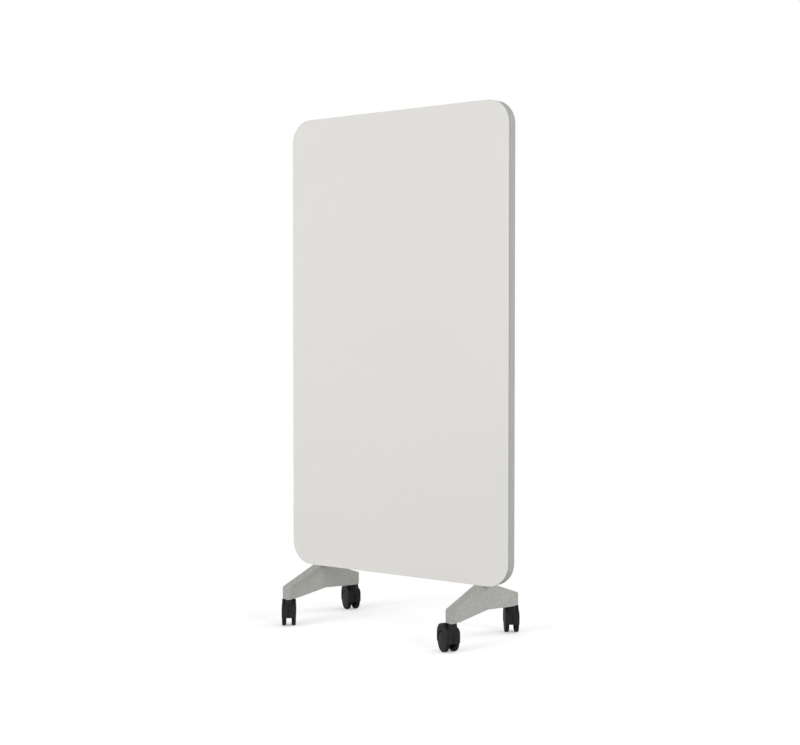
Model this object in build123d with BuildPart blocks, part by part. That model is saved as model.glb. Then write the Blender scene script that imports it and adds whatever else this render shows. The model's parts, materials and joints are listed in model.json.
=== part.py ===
from build123d import *
import os
from math import cos, radians, sin

# Rolling whiteboard: a thick board with rounded corners on two wedge-shaped feet and four
# twin-wheel swivel castors.  Millimetres, +Z up, the writing face looks along -Y, and the
# origin is on the floor under the middle of the whole outline, castors included.

os.makedirs("parts", exist_ok=True)

# Board
BOARD_WIDTH = 1000.0
BOARD_HEIGHT = 1742.0
BOARD_DEPTH = 45.0
BOARD_BOTTOM = 213.5
BOARD_MIDDLE_Y = -25.45
CORNER_RADIUS = 88.0
FRONT_Y = BOARD_MIDDLE_Y - BOARD_DEPTH / 2
REAR_Y = BOARD_MIDDLE_Y + BOARD_DEPTH / 2
BOARD_MIDDLE = BOARD_BOTTOM + BOARD_HEIGHT / 2

# Face panel
SKIN_THICKNESS = 1.0
SKIN_EDGE_RADIUS = 0.6
PANEL_THICKNESS = 10.0
EDGING_THICKNESS = 1.2
CORE_Y = FRONT_Y + SKIN_THICKNESS
PANEL_REAR_Y = FRONT_Y + PANEL_THICKNESS

# Edge frame
FRAME_WALL = 2.5
LEDGE_THICKNESS = 2.5
LEDGE_REACH = 14.0
LIP_THICKNESS = 2.0
LIP_REACH = 9.0
REAR_EDGE_RADIUS = 3.0
SEAM_WIDTH = 0.3
LEDGE_REAR_Y = PANEL_REAR_Y + LEDGE_THICKNESS
LIP_FRONT_Y = REAR_Y - LIP_THICKNESS
FLOOR_WALL_TOP = BOARD_BOTTOM + FRAME_WALL

# Splice that closes the frame at the middle of its lower run
SPLICE_LENGTH = 130.0
SPLICE_DEPTH = 16.0
SPLICE_THICKNESS = 5.0
SPLICE_CORNER_RADIUS = 3.0
SPLICE_SCREW_PLACES = (-48.0, -18.0, 18.0, 48.0)
SPLICE_SCREW_RADIUS = 2.0
SPLICE_HEAD_RADIUS = 4.0
SPLICE_HEAD_DEPTH = 2.0
SPLICE_SCREW_LENGTH = 7.0
SPLICE_KEY_RADIUS = 1.4
SPLICE_KEY_DEPTH = 1.2

# Steel inner frame
FOOT_X = 377.0
TUBE_WIDTH = 30.0
TUBE_DEPTH = 20.0
TUBE_WALL = 2.0
TUBE_CORNER_RADIUS = 3.0
TUBE_BORE_RADIUS = 1.0
TUBE_FRONT_Y = LEDGE_REAR_Y
TUBE_REAR_Y = TUBE_FRONT_Y + TUBE_DEPTH
TUBE_MIDDLE_Y = (TUBE_FRONT_Y + TUBE_REAR_Y) / 2
UPRIGHT_TOP = BOARD_BOTTOM + BOARD_HEIGHT - 20.0
RAIL_INSET = 90.0
RAIL_HEIGHTS = {
    "bottom_rail": BOARD_BOTTOM + RAIL_INSET,
    "middle_rail": BOARD_MIDDLE,
    "top_rail": BOARD_BOTTOM + BOARD_HEIGHT - RAIL_INSET,
}
RAIL_REACH = FOOT_X - TUBE_WIDTH / 2
TAPE_LENGTH = 1560.0
TAPE_WIDTH = 24.0
BATT_CLEARANCE = 3.0
BATT_CORNER_RADIUS = 4.0
PLUG_HEIGHT = 40.0
PLUG_PLAY = 0.1

# Rear panel
REAR_BOARD_THICKNESS = 6.0
REAR_INSET = 3.2
FELT_GAP = 0.3
BOARD_SCREW_RADIUS = 2.0
BOARD_SCREW_HEAD_RADIUS = 4.0
BOARD_SCREW_HEAD_DEPTH = 2.2
BOARD_SCREW_LENGTH = 12.0
BOARD_SCREW_SPACING = 320.0

# Feet
FOOT_WIDTH = 40.0
FOOT_LENGTH = 438.0
FOOT_MIDDLE_Y = (PANEL_REAR_Y + REAR_Y) / 2
FOOT_END_BOTTOM = 108.5
FOOT_ARCH_TOP = 123.5
FOOT_END_TOP = 153.0
FOOT_SEAT_LENGTH = 68.0
FOOT_FLAT_END = 172.0
FOOT_NOSE_RADIUS = 11.0
FOOT_EDGE_RADIUS = 2.5
FOOT_WALL = 5.0
POCKET_SPANS = ((20.0, 90.0), (95.0, 170.0))
POCKET_OVERRUN = 10.0

# Foot bolts, M10
BOLT_RADIUS = 5.0
BOLT_HOLE_RADIUS = 5.25
BOLT_HEAD_RADIUS = 8.0
BOLT_HEAD_HEIGHT = 10.0
BOLT_KEY_SIZE = 8.0
BOLT_WELL_RADIUS = 11.0
BOLT_SEAT_Z = 201.5
WASHER_RADIUS = 10.0
WASHER_THICKNESS = 2.0
BOLT_TIP_Z = FLOOR_WALL_TOP + 32.0

# Castors
STEM_INSET = 18.0
STEM_RADIUS = 5.5
STEM_TIP_Z = 141.5
STEM_FOOT_Z = 72.0
STEM_COLLAR_RADIUS = 11.0
STEM_COLLAR_BOTTOM = 105.0
STEM_CHAMFER = 1.0
SOCKET_RADIUS = 7.5
SOCKET_FLANGE_RADIUS = 12.0
SOCKET_FLANGE_THICKNESS = 1.2
SOCKET_TOP_Z = 142.5
RING_GROOVE_RADIUS = 4.7
RING_RADIUS = 6.5
RING_THICKNESS = 1.6
RING_Z = 79.0
RING_SPLIT = 2.0
RING_BORE_PLAY = 0.1
RING_GROOVE_PLAY = 0.2
RING_PLAY = 0.5
RUNNING_CLEARANCE = 0.05
PRESS_PLAY = 0.02
TOUCH = 0.01

WHEEL_RADIUS = 37.5
TRAIL = 28.0
AXLE_RADIUS = 4.0
AXLE_HALF_LENGTH = 22.0
AXLE_CHAMFER = 0.6
AXLE_END_PLAY = 0.4
WEB_HALF_WIDTH = 9.9
WHEEL_INNER = 10.5
WHEEL_OUTER = 27.0
WHEEL_WELL_RADIUS = 39.2
HUB_RADIUS = 10.5

HOOD_HALF_WIDTH = 27.0
HOOD_TOP_HALF_WIDTH = 24.8
HOOD_SKIRT_HALF_WIDTH = 25.8
HOOD_SKIRT_Z = 20.0
HOOD_WIDEST_Z = 58.0
HOOD_SECTION_TOP = 108.0
HOOD_FRONT = -13.5
HOOD_REAR = 69.5
HOOD_FRONT_BOTTOM = 35.0
HOOD_REAR_BOTTOM = 33.0
HOOD_EDGE_RADIUS = 3.0
SHOULDER_Z = 88.0
SHOULDER_RADIUS = 20.0
CROWN_FOOT = 9.0
CROWN_FRONT = 12.0
CROWN_FRONT_Z = 106.5
CROWN_REAR_Z = 95.0
CROWN_RADIUS = 32.0
CROWN_LEAD_RADIUS = 3.0
HOOD_ROUNDINGS = (
    ((HOOD_FRONT, SHOULDER_Z), SHOULDER_RADIUS),
    ((HOOD_REAR, CROWN_REAR_Z), CROWN_RADIUS),
    ((CROWN_FRONT, CROWN_FRONT_Z), CROWN_LEAD_RADIUS),
)
NECK_RADIUS = 13.0
NECK_TOP = 104.5
NECK_BOTTOM = 65.0
STEM_BORE_Z = 70.0
SPINE_HALF_WIDTH = 3.2
SPINE_DEPTH = 2.4
SPINE_TOP = 84.0

# Hollows in the hood above the wheels, measured from the middle of the axle
CROWN_WALL = 3.0
POCKET_NEAR = 11.7
POCKET_FAR = 22.0
POCKET_FRONT = CROWN_FRONT + CROWN_WALL - TRAIL
POCKET_REAR = HOOD_REAR - CROWN_WALL - TRAIL
POCKET_TOP = CROWN_REAR_Z - CROWN_WALL - WHEEL_RADIUS
POCKET_RADIUS = CROWN_RADIUS - CROWN_WALL

# Wheels and tyres; widths are measured along the axle from its middle
DISC_RADIUS = 34.0
DISC_EDGE = 25.2
DISC_MIDDLE = 26.6
DISC_INNER = 22.6
WHEEL_HUB_RADIUS = 9.5
RIM_WALL = 3.0
RIM_LIP = 1.0
RIM_INNER = 11.4
SPOKES = 6
SPOKE_INNER = 12.5
SPOKE_WIDTH = 2.5
SPOKE_OVERLAP = 0.5
TYRE_SEAT_RADIUS = 32.0
TYRE_SEAT_INNER = 12.4
TYRE_SEAT_OUTER = 24.2
TYRE_INNER = 10.8
TYRE_OUTER = 25.9
TYRE_SHOULDER = 3.4
TYRE_PLAY = 0.03

# Stem place of each castor and its trail direction at rest, in degrees from +X
STEM_REACH = FOOT_LENGTH / 2 - STEM_INSET
CASTORS = {
    "front_left": (-FOOT_X, FOOT_MIDDLE_Y - STEM_REACH, 128.5),
    "front_right": (FOOT_X, FOOT_MIDDLE_Y - STEM_REACH, 150.0),
    "rear_left": (-FOOT_X, FOOT_MIDDLE_Y + STEM_REACH, 150.0),
    "rear_right": (FOOT_X, FOOT_MIDDLE_Y + STEM_REACH, 128.5),
}


def save(part, name):
    """Label a finished piece and write it under its own name."""
    part.label = name
    export_step(part, f"parts/{name}.step")


def board_plane(y):
    """Upright plane parallel to the board; a positive extrusion goes forwards, to -Y."""
    return Plane(origin=(0, y, BOARD_MIDDLE), x_dir=(1, 0, 0), z_dir=(0, -1, 0))


def board_outline(inset):
    """The board's rounded outline, moved in by inset."""
    RectangleRounded(
        BOARD_WIDTH - 2 * inset,
        BOARD_HEIGHT - 2 * inset,
        CORNER_RADIUS - inset,
    )


# ---------------------------------------------------------------- face panel

with BuildPart() as writing_skin:
    with BuildSketch(board_plane(CORE_Y)):
        board_outline(0)
    extrude(amount=SKIN_THICKNESS)
    front_loop = writing_skin.faces().sort_by(Axis.Y)[0].edges()
    fillet(front_loop, radius=SKIN_EDGE_RADIUS)
save(writing_skin.part, "writing_skin")

with BuildPart() as face_core:
    with BuildSketch(board_plane(PANEL_REAR_Y)):
        board_outline(EDGING_THICKNESS)
    extrude(amount=PANEL_REAR_Y - CORE_Y)
save(face_core.part, "face_core")

with BuildPart() as face_edging:
    with BuildSketch(board_plane(PANEL_REAR_Y)):
        board_outline(0)
        with BuildSketch(board_plane(PANEL_REAR_Y), mode=Mode.SUBTRACT):
            board_outline(EDGING_THICKNESS)
    extrude(amount=PANEL_REAR_Y - CORE_Y)
save(face_edging.part, "face_edging")

# ---------------------------------------------------------------- edge frame


def frame_hole_plane(x, z):
    """Level plane on the frame's lower run, at the middle line of the inner tubes."""
    return Plane(origin=(x, TUBE_MIDDLE_Y, z))


with BuildPart() as edge_frame:
    with BuildSketch(board_plane(REAR_Y)):
        board_outline(0)
    extrude(amount=REAR_Y - PANEL_REAR_Y)
    fillet(edge_frame.faces().sort_by(Axis.Y)[-1].edges(), radius=REAR_EDGE_RADIUS)
    with BuildSketch(board_plane(LIP_FRONT_Y)):
        board_outline(FRAME_WALL)
    extrude(amount=LIP_FRONT_Y - LEDGE_REAR_Y, mode=Mode.SUBTRACT)
    with BuildSketch(board_plane(LEDGE_REAR_Y)):
        board_outline(LEDGE_REACH)
    extrude(amount=LEDGE_THICKNESS, mode=Mode.SUBTRACT)
    with BuildSketch(board_plane(REAR_Y)):
        board_outline(LIP_REACH)
    extrude(amount=LIP_THICKNESS, mode=Mode.SUBTRACT)
    with BuildSketch(Plane.XY.offset(BOARD_BOTTOM)):
        with Locations((0, (PANEL_REAR_Y + REAR_Y) / 2)):
            Rectangle(SEAM_WIDTH, REAR_Y - PANEL_REAR_Y)
    extrude(amount=LEDGE_REACH, mode=Mode.SUBTRACT)
    for side in (-1, 1):
        with BuildSketch(frame_hole_plane(side * FOOT_X, BOARD_BOTTOM)):
            Circle(BOLT_HOLE_RADIUS)
        extrude(amount=FRAME_WALL, mode=Mode.SUBTRACT)
    for place in SPLICE_SCREW_PLACES:
        with BuildSketch(frame_hole_plane(place, BOARD_BOTTOM)):
            Circle(SPLICE_SCREW_RADIUS)
        extrude(amount=FRAME_WALL, mode=Mode.SUBTRACT)
        with BuildSketch(frame_hole_plane(place, BOARD_BOTTOM)):
            Circle(SPLICE_HEAD_RADIUS)
        with BuildSketch(frame_hole_plane(place, BOARD_BOTTOM + SPLICE_HEAD_DEPTH)):
            Circle(SPLICE_SCREW_RADIUS)
        loft(mode=Mode.SUBTRACT)
save(edge_frame.part, "edge_frame")

with BuildPart() as frame_splice:
    with BuildSketch(frame_hole_plane(0, FLOOR_WALL_TOP)):
        RectangleRounded(SPLICE_LENGTH, SPLICE_DEPTH, SPLICE_CORNER_RADIUS)
    extrude(amount=SPLICE_THICKNESS)
    for place in SPLICE_SCREW_PLACES:
        with BuildSketch(frame_hole_plane(place, FLOOR_WALL_TOP)):
            Circle(SPLICE_SCREW_RADIUS)
        extrude(amount=SPLICE_THICKNESS, mode=Mode.SUBTRACT)
save(frame_splice.part, "frame_splice")

with BuildPart() as splice_screws:
    for place in SPLICE_SCREW_PLACES:
        with BuildSketch(frame_hole_plane(place, BOARD_BOTTOM)):
            Circle(SPLICE_SCREW_RADIUS)
        extrude(amount=SPLICE_SCREW_LENGTH)
        with BuildSketch(frame_hole_plane(place, BOARD_BOTTOM)):
            Circle(SPLICE_HEAD_RADIUS)
        with BuildSketch(frame_hole_plane(place, BOARD_BOTTOM + SPLICE_HEAD_DEPTH)):
            Circle(SPLICE_SCREW_RADIUS)
        loft()
        with BuildSketch(frame_hole_plane(place, BOARD_BOTTOM)):
            RegularPolygon(radius=SPLICE_KEY_RADIUS, side_count=6)
        extrude(amount=SPLICE_KEY_DEPTH, mode=Mode.SUBTRACT)
save(splice_screws.part, "splice_screws")

# ---------------------------------------------------------------- inner frame


def upright(side):
    """Rectangular steel tube that stands on the frame's lower run above one foot."""
    with BuildPart() as tube:
        with BuildSketch(frame_hole_plane(side * FOOT_X, FLOOR_WALL_TOP)):
            RectangleRounded(TUBE_WIDTH, TUBE_DEPTH, TUBE_CORNER_RADIUS)
            RectangleRounded(
                TUBE_WIDTH - 2 * TUBE_WALL,
                TUBE_DEPTH - 2 * TUBE_WALL,
                TUBE_BORE_RADIUS,
                mode=Mode.SUBTRACT,
            )
        extrude(amount=UPRIGHT_TOP - FLOOR_WALL_TOP)
    return tube.part


def upright_plug(side):
    """Threaded block in the lower end of an upright."""
    with BuildPart() as plug:
        with BuildSketch(frame_hole_plane(side * FOOT_X, FLOOR_WALL_TOP)):
            RectangleRounded(
                TUBE_WIDTH - 2 * TUBE_WALL - PLUG_PLAY,
                TUBE_DEPTH - 2 * TUBE_WALL - PLUG_PLAY,
                TUBE_BORE_RADIUS,
            )
            Circle(BOLT_RADIUS + RUNNING_CLEARANCE, mode=Mode.SUBTRACT)
        extrude(amount=PLUG_HEIGHT)
    return plug.part


def level_plane(y, height):
    """Upright plane at one height; a positive extrusion goes forwards."""
    return Plane(origin=(0, y, height), x_dir=(1, 0, 0), z_dir=(0, -1, 0))


def cross_rail(height):
    """Rectangular steel tube between the two uprights, with screw holes in its rear wall."""
    rail_start = (-RAIL_REACH, TUBE_MIDDLE_Y, height)
    with BuildPart() as rail:
        with BuildSketch(Plane(origin=rail_start, x_dir=(0, 1, 0), z_dir=(1, 0, 0))):
            RectangleRounded(TUBE_DEPTH, TUBE_WIDTH, TUBE_CORNER_RADIUS)
            RectangleRounded(
                TUBE_DEPTH - 2 * TUBE_WALL,
                TUBE_WIDTH - 2 * TUBE_WALL,
                TUBE_BORE_RADIUS,
                mode=Mode.SUBTRACT,
            )
        extrude(amount=2 * RAIL_REACH)
        with BuildSketch(level_plane(TUBE_REAR_Y, height)):
            with GridLocations(BOARD_SCREW_SPACING, 0, 3, 1):
                Circle(BOARD_SCREW_RADIUS + RUNNING_CLEARANCE)
        extrude(amount=TUBE_WALL, mode=Mode.SUBTRACT)
    return rail.part


for side, word in ((-1, "left"), (1, "right")):
    save(upright(side), f"upright_{word}")
    save(upright_plug(side), f"upright_plug_{word}")

for name, height in RAIL_HEIGHTS.items():
    save(cross_rail(height), name)

with BuildPart() as face_tape:
    with BuildSketch(board_plane(LEDGE_REAR_Y)):
        with GridLocations(2 * FOOT_X, 0, 2, 1):
            Rectangle(TAPE_WIDTH, TAPE_LENGTH)
    extrude(amount=LEDGE_THICKNESS)
save(face_tape.part, "face_tape")

with BuildPart() as acoustic_batt:
    rail_levels = sorted(RAIL_HEIGHTS.values())
    for low, high in zip(rail_levels[:-1], rail_levels[1:]):
        batt_height = high - low - TUBE_WIDTH - 2 * BATT_CLEARANCE
        with BuildSketch(level_plane(TUBE_REAR_Y, (low + high) / 2)):
            RectangleRounded(
                2 * (RAIL_REACH - BATT_CLEARANCE),
                batt_height,
                BATT_CORNER_RADIUS,
            )
        extrude(amount=TUBE_DEPTH)
save(acoustic_batt.part, "acoustic_batt")

# ---------------------------------------------------------------- rear panel

REAR_BOARD_Y = TUBE_REAR_Y + REAR_BOARD_THICKNESS

with BuildPart() as rear_board:
    with BuildSketch(board_plane(REAR_BOARD_Y)):
        board_outline(REAR_INSET)
    extrude(amount=REAR_BOARD_THICKNESS)
    for height in RAIL_HEIGHTS.values():
        with BuildSketch(level_plane(REAR_BOARD_Y, height)):
            with GridLocations(BOARD_SCREW_SPACING, 0, 3, 1):
                Circle(BOARD_SCREW_RADIUS + RUNNING_CLEARANCE)
        extrude(amount=REAR_BOARD_THICKNESS, mode=Mode.SUBTRACT)
        with BuildSketch(level_plane(REAR_BOARD_Y, height)):
            with GridLocations(BOARD_SCREW_SPACING, 0, 3, 1):
                Circle(BOARD_SCREW_HEAD_RADIUS + RUNNING_CLEARANCE)
        extrude(amount=BOARD_SCREW_HEAD_DEPTH, mode=Mode.SUBTRACT)
save(rear_board.part, "rear_board")

with BuildPart() as board_screws:
    for height in RAIL_HEIGHTS.values():
        with BuildSketch(level_plane(REAR_BOARD_Y, height)):
            with GridLocations(BOARD_SCREW_SPACING, 0, 3, 1):
                Circle(BOARD_SCREW_RADIUS)
        extrude(amount=BOARD_SCREW_LENGTH)
        with BuildSketch(level_plane(REAR_BOARD_Y, height)):
            with GridLocations(BOARD_SCREW_SPACING, 0, 3, 1):
                Circle(BOARD_SCREW_HEAD_RADIUS)
        extrude(amount=BOARD_SCREW_HEAD_DEPTH)
save(board_screws.part, "board_screws")

with BuildPart() as felt_panel:
    with BuildSketch(board_plane(LIP_FRONT_Y - FELT_GAP)):
        board_outline(REAR_INSET)
    extrude(amount=LIP_FRONT_Y - FELT_GAP - REAR_BOARD_Y)
save(felt_panel.part, "felt_panel")

# ---------------------------------------------------------------- feet

SEAT_HALF = FOOT_SEAT_LENGTH / 2
FOOT_HALF = FOOT_LENGTH / 2


def foot_top(reach):
    """Height of the foot's sloping top at a distance from its middle."""
    slope = (BOARD_BOTTOM - FOOT_END_TOP) / (FOOT_HALF - SEAT_HALF)
    return min(BOARD_BOTTOM, FOOT_END_TOP + slope * (FOOT_HALF - reach))


def foot_bottom(reach):
    """Height of the foot's underside: level at the ends, rising to the arch."""
    slope = (FOOT_ARCH_TOP - FOOT_END_BOTTOM) / FOOT_FLAT_END
    return max(FOOT_END_BOTTOM, FOOT_ARCH_TOP - slope * reach)


def foot(side):
    """Cast foot: a wedge each way from the seat under the board, cored out from below."""
    foot_plane = Plane(origin=(side * FOOT_X, FOOT_MIDDLE_Y, 0), x_dir=(0, 1, 0), z_dir=(1, 0, 0))
    with BuildPart() as casting:
        with BuildSketch(foot_plane):
            with BuildLine():
                Polyline(
                    (-FOOT_HALF, FOOT_END_BOTTOM),
                    (-FOOT_HALF, FOOT_END_TOP),
                    (-SEAT_HALF, BOARD_BOTTOM),
                    (SEAT_HALF, BOARD_BOTTOM),
                    (FOOT_HALF, FOOT_END_TOP),
                    (FOOT_HALF, FOOT_END_BOTTOM),
                    (FOOT_FLAT_END, FOOT_END_BOTTOM),
                    (0, FOOT_ARCH_TOP),
                    (-FOOT_FLAT_END, FOOT_END_BOTTOM),
                    close=True,
                )
            make_face()
        extrude(amount=FOOT_WIDTH / 2, both=True)
        fillet(casting.edges().filter_by(Axis.Z), radius=FOOT_NOSE_RADIUS)
        tops = casting.faces().filter_by(GeomType.PLANE).sort_by(Axis.Z)[-3:]
        slopes = tops.sort_by(Axis.Y)[0:3:2]
        rim = [edge for edge in slopes.edges() if edge.center().Z < BOARD_BOTTOM - TOUCH]
        fillet(rim, radius=FOOT_EDGE_RADIUS)
        for end in (-1, 1):
            for near, far in POCKET_SPANS:
                with BuildSketch(foot_plane):
                    with BuildLine():
                        Polyline(
                            (end * near, foot_bottom(near) - POCKET_OVERRUN),
                            (end * far, foot_bottom(far) - POCKET_OVERRUN),
                            (end * far, foot_top(far) - FOOT_WALL),
                            (end * near, foot_top(near) - FOOT_WALL),
                            close=True,
                        )
                    make_face()
                extrude(amount=FOOT_WIDTH / 2 - FOOT_WALL, both=True, mode=Mode.SUBTRACT)
            socket_place = (side * FOOT_X, FOOT_MIDDLE_Y + end * STEM_REACH, FOOT_END_BOTTOM)
            with BuildSketch(Plane(origin=socket_place)):
                Circle(SOCKET_RADIUS + PRESS_PLAY)
            extrude(amount=SOCKET_TOP_Z - FOOT_END_BOTTOM, mode=Mode.SUBTRACT)
        with BuildSketch(frame_hole_plane(side * FOOT_X, BOARD_BOTTOM)):
            Circle(BOLT_HOLE_RADIUS)
        extrude(amount=-(BOARD_BOTTOM - FOOT_ARCH_TOP), mode=Mode.SUBTRACT)
        with BuildSketch(frame_hole_plane(side * FOOT_X, BOLT_SEAT_Z)):
            Circle(BOLT_WELL_RADIUS)
        extrude(amount=-(BOLT_SEAT_Z - FOOT_END_BOTTOM), mode=Mode.SUBTRACT)
    return casting.part


def foot_washer(side):
    """Plain washer under the bolt head."""
    with BuildPart() as washer:
        with BuildSketch(frame_hole_plane(side * FOOT_X, BOLT_SEAT_Z - WASHER_THICKNESS)):
            Circle(WASHER_RADIUS)
            Circle(BOLT_HOLE_RADIUS, mode=Mode.SUBTRACT)
        extrude(amount=WASHER_THICKNESS)
    return washer.part


def foot_bolt(side):
    """Socket-head bolt that pulls the foot and the frame against the upright's plug."""
    head_top = BOLT_SEAT_Z - WASHER_THICKNESS
    with BuildPart() as bolt:
        with BuildSketch(frame_hole_plane(side * FOOT_X, head_top)):
            Circle(BOLT_RADIUS)
        extrude(amount=BOLT_TIP_Z - head_top)
        with BuildSketch(frame_hole_plane(side * FOOT_X, head_top - BOLT_HEAD_HEIGHT)):
            Circle(BOLT_HEAD_RADIUS)
        extrude(amount=BOLT_HEAD_HEIGHT)
        with BuildSketch(frame_hole_plane(side * FOOT_X, head_top - BOLT_HEAD_HEIGHT)):
            RegularPolygon(radius=BOLT_KEY_SIZE / 2, side_count=6, major_radius=False)
        extrude(amount=BOLT_HEAD_HEIGHT / 2, mode=Mode.SUBTRACT)
    return bolt.part


for side, word in ((-1, "left"), (1, "right")):
    save(foot(side), f"foot_{word}")
    save(foot_washer(side), f"foot_washer_{word}")
    save(foot_bolt(side), f"foot_bolt_{word}")

# ---------------------------------------------------------------- castors

# One castor is modelled with its stem on the Z axis and its wheels trailing along +X, and
# each finished piece is then placed four times.


def trail_plane(offset=0.0):
    """Upright plane along the trail, offset along the axle; x is the trail, y is up."""
    return Plane(origin=(0, offset, 0), x_dir=(1, 0, 0), z_dir=(0, -1, 0))


def wheel_well_plane(offset):
    """Upright plane across the axle with its origin on the axle's line."""
    return Plane(origin=(TRAIL, offset, WHEEL_RADIUS), x_dir=(1, 0, 0), z_dir=(0, -1, 0))


def axle_plane(side):
    """Upright plane through the axle: x runs outwards along it on one side, y is up."""
    return Plane(origin=(TRAIL, 0, WHEEL_RADIUS), x_dir=(0, side, 0), z_dir=(side, 0, 0))


with BuildPart() as castor_socket:
    with BuildSketch(Plane.XY.offset(FOOT_END_BOTTOM)):
        Circle(SOCKET_RADIUS)
        Circle(STEM_RADIUS + PRESS_PLAY, mode=Mode.SUBTRACT)
    extrude(amount=SOCKET_TOP_Z - FOOT_END_BOTTOM)
    with BuildSketch(Plane.XY.offset(FOOT_END_BOTTOM)):
        Circle(SOCKET_FLANGE_RADIUS)
        Circle(STEM_RADIUS + PRESS_PLAY, mode=Mode.SUBTRACT)
    extrude(amount=-SOCKET_FLANGE_THICKNESS)

with BuildPart() as castor_stem:
    with BuildSketch(Plane.XY.offset(STEM_FOOT_Z)):
        Circle(STEM_RADIUS)
    extrude(amount=STEM_TIP_Z - STEM_FOOT_Z)
    chamfer(castor_stem.edges().filter_by(GeomType.CIRCLE), length=STEM_CHAMFER)
    with BuildSketch(Plane.XY.offset(STEM_COLLAR_BOTTOM)):
        Circle(STEM_COLLAR_RADIUS)
    extrude(amount=FOOT_END_BOTTOM - SOCKET_FLANGE_THICKNESS - STEM_COLLAR_BOTTOM)
    with BuildSketch(Plane.XY.offset(RING_Z - RING_THICKNESS / 2 - RING_GROOVE_PLAY)):
        Circle(STEM_RADIUS + STEM_CHAMFER)
        Circle(RING_GROOVE_RADIUS, mode=Mode.SUBTRACT)
    extrude(amount=RING_THICKNESS + 2 * RING_GROOVE_PLAY, mode=Mode.SUBTRACT)

with BuildPart() as stem_ring:
    with BuildSketch(Plane.XY.offset(RING_Z - RING_THICKNESS / 2)):
        Circle(RING_RADIUS)
        Circle(RING_GROOVE_RADIUS + RING_BORE_PLAY, mode=Mode.SUBTRACT)
        with Locations((-RING_RADIUS, 0)):
            Rectangle(RING_RADIUS, RING_SPLIT, mode=Mode.SUBTRACT)
    extrude(amount=RING_THICKNESS)

# Hood over both wheels, neck round the stem and the web that holds the axle, in one moulding.
with BuildPart() as castor_housing:
    with BuildSketch(trail_plane()) as profile:
        with BuildLine():
            Polyline(
                (HOOD_FRONT, HOOD_FRONT_BOTTOM),
                (HOOD_FRONT, SHOULDER_Z),
                (CROWN_FOOT, SHOULDER_Z),
                (CROWN_FRONT, CROWN_FRONT_Z),
                (HOOD_REAR, CROWN_REAR_Z),
                (HOOD_REAR, HOOD_REAR_BOTTOM),
                close=True,
            )
        make_face()
        for corner, radius in HOOD_ROUNDINGS:
            fillet(profile.vertices().sort_by_distance(corner)[0], radius=radius)
    extrude(amount=2 * HOOD_HALF_WIDTH, both=True)
    with BuildSketch(Plane.YZ):
        with BuildLine():
            right = ThreePointArc(
                (HOOD_SKIRT_HALF_WIDTH, HOOD_SKIRT_Z),
                (HOOD_HALF_WIDTH, HOOD_WIDEST_Z),
                (HOOD_TOP_HALF_WIDTH, HOOD_SECTION_TOP),
            )
            left = ThreePointArc(
                (-HOOD_SKIRT_HALF_WIDTH, HOOD_SKIRT_Z),
                (-HOOD_HALF_WIDTH, HOOD_WIDEST_Z),
                (-HOOD_TOP_HALF_WIDTH, HOOD_SECTION_TOP),
            )
            Line(right @ 0, left @ 0)
            Line(right @ 1, left @ 1)
        make_face()
    extrude(amount=2 * HOOD_REAR, both=True, mode=Mode.INTERSECT)
    side_edges = [
        edge
        for edge in castor_housing.edges()
        if abs(edge.center().Y) > HOOD_TOP_HALF_WIDTH - TOUCH
        and edge.center().Z > HOOD_FRONT_BOTTOM
    ]
    fillet(side_edges, radius=HOOD_EDGE_RADIUS)
    with BuildSketch(Plane.XY.offset(NECK_BOTTOM)):
        Circle(NECK_RADIUS)
    extrude(amount=NECK_TOP - NECK_BOTTOM)
    with BuildSketch(Plane.XZ.offset(-SPINE_HALF_WIDTH)):
        with Locations((HOOD_FRONT + SPINE_DEPTH / 2, (HOOD_FRONT_BOTTOM + SPINE_TOP) / 2)):
            Rectangle(SPINE_DEPTH, SPINE_TOP - HOOD_FRONT_BOTTOM)
    extrude(amount=2 * SPINE_HALF_WIDTH, mode=Mode.SUBTRACT)
    for out in (-1, 1):
        with BuildSketch(wheel_well_plane(out * WEB_HALF_WIDTH)):
            Circle(WHEEL_WELL_RADIUS)
        extrude(amount=-out * HOOD_HALF_WIDTH, mode=Mode.SUBTRACT)
        with BuildSketch(wheel_well_plane(out * POCKET_NEAR)):
            with BuildLine():
                Polyline(
                    (POCKET_REAR, POCKET_TOP - POCKET_RADIUS),
                    (POCKET_REAR, 0),
                    (POCKET_FRONT, 0),
                    (POCKET_FRONT, POCKET_TOP),
                    (POCKET_REAR - POCKET_RADIUS, POCKET_TOP),
                )
                RadiusArc(
                    (POCKET_REAR - POCKET_RADIUS, POCKET_TOP),
                    (POCKET_REAR, POCKET_TOP - POCKET_RADIUS),
                    POCKET_RADIUS,
                )
            make_face()
        extrude(amount=-out * (POCKET_FAR - POCKET_NEAR), mode=Mode.SUBTRACT)
    with BuildSketch(wheel_well_plane(0)):
        Circle(HUB_RADIUS)
    extrude(amount=WEB_HALF_WIDTH, both=True)
    with BuildSketch(wheel_well_plane(0)):
        Circle(AXLE_RADIUS + PRESS_PLAY)
    extrude(amount=WEB_HALF_WIDTH, both=True, mode=Mode.SUBTRACT)
    with BuildSketch(Plane.XY.offset(STEM_BORE_Z)):
        Circle(STEM_RADIUS + RUNNING_CLEARANCE)
    extrude(amount=NECK_TOP - STEM_BORE_Z, mode=Mode.SUBTRACT)
    with BuildSketch(Plane.XY.offset(RING_Z - RING_THICKNESS / 2 - RING_PLAY)):
        Circle(RING_RADIUS + RING_PLAY)
    extrude(amount=RING_THICKNESS + 2 * RING_PLAY, mode=Mode.SUBTRACT)

with BuildPart() as castor_axle:
    with BuildSketch(wheel_well_plane(0)):
        Circle(AXLE_RADIUS)
    extrude(amount=AXLE_HALF_LENGTH, both=True)
    chamfer(castor_axle.edges().filter_by(GeomType.CIRCLE), length=AXLE_CHAMFER)


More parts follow.
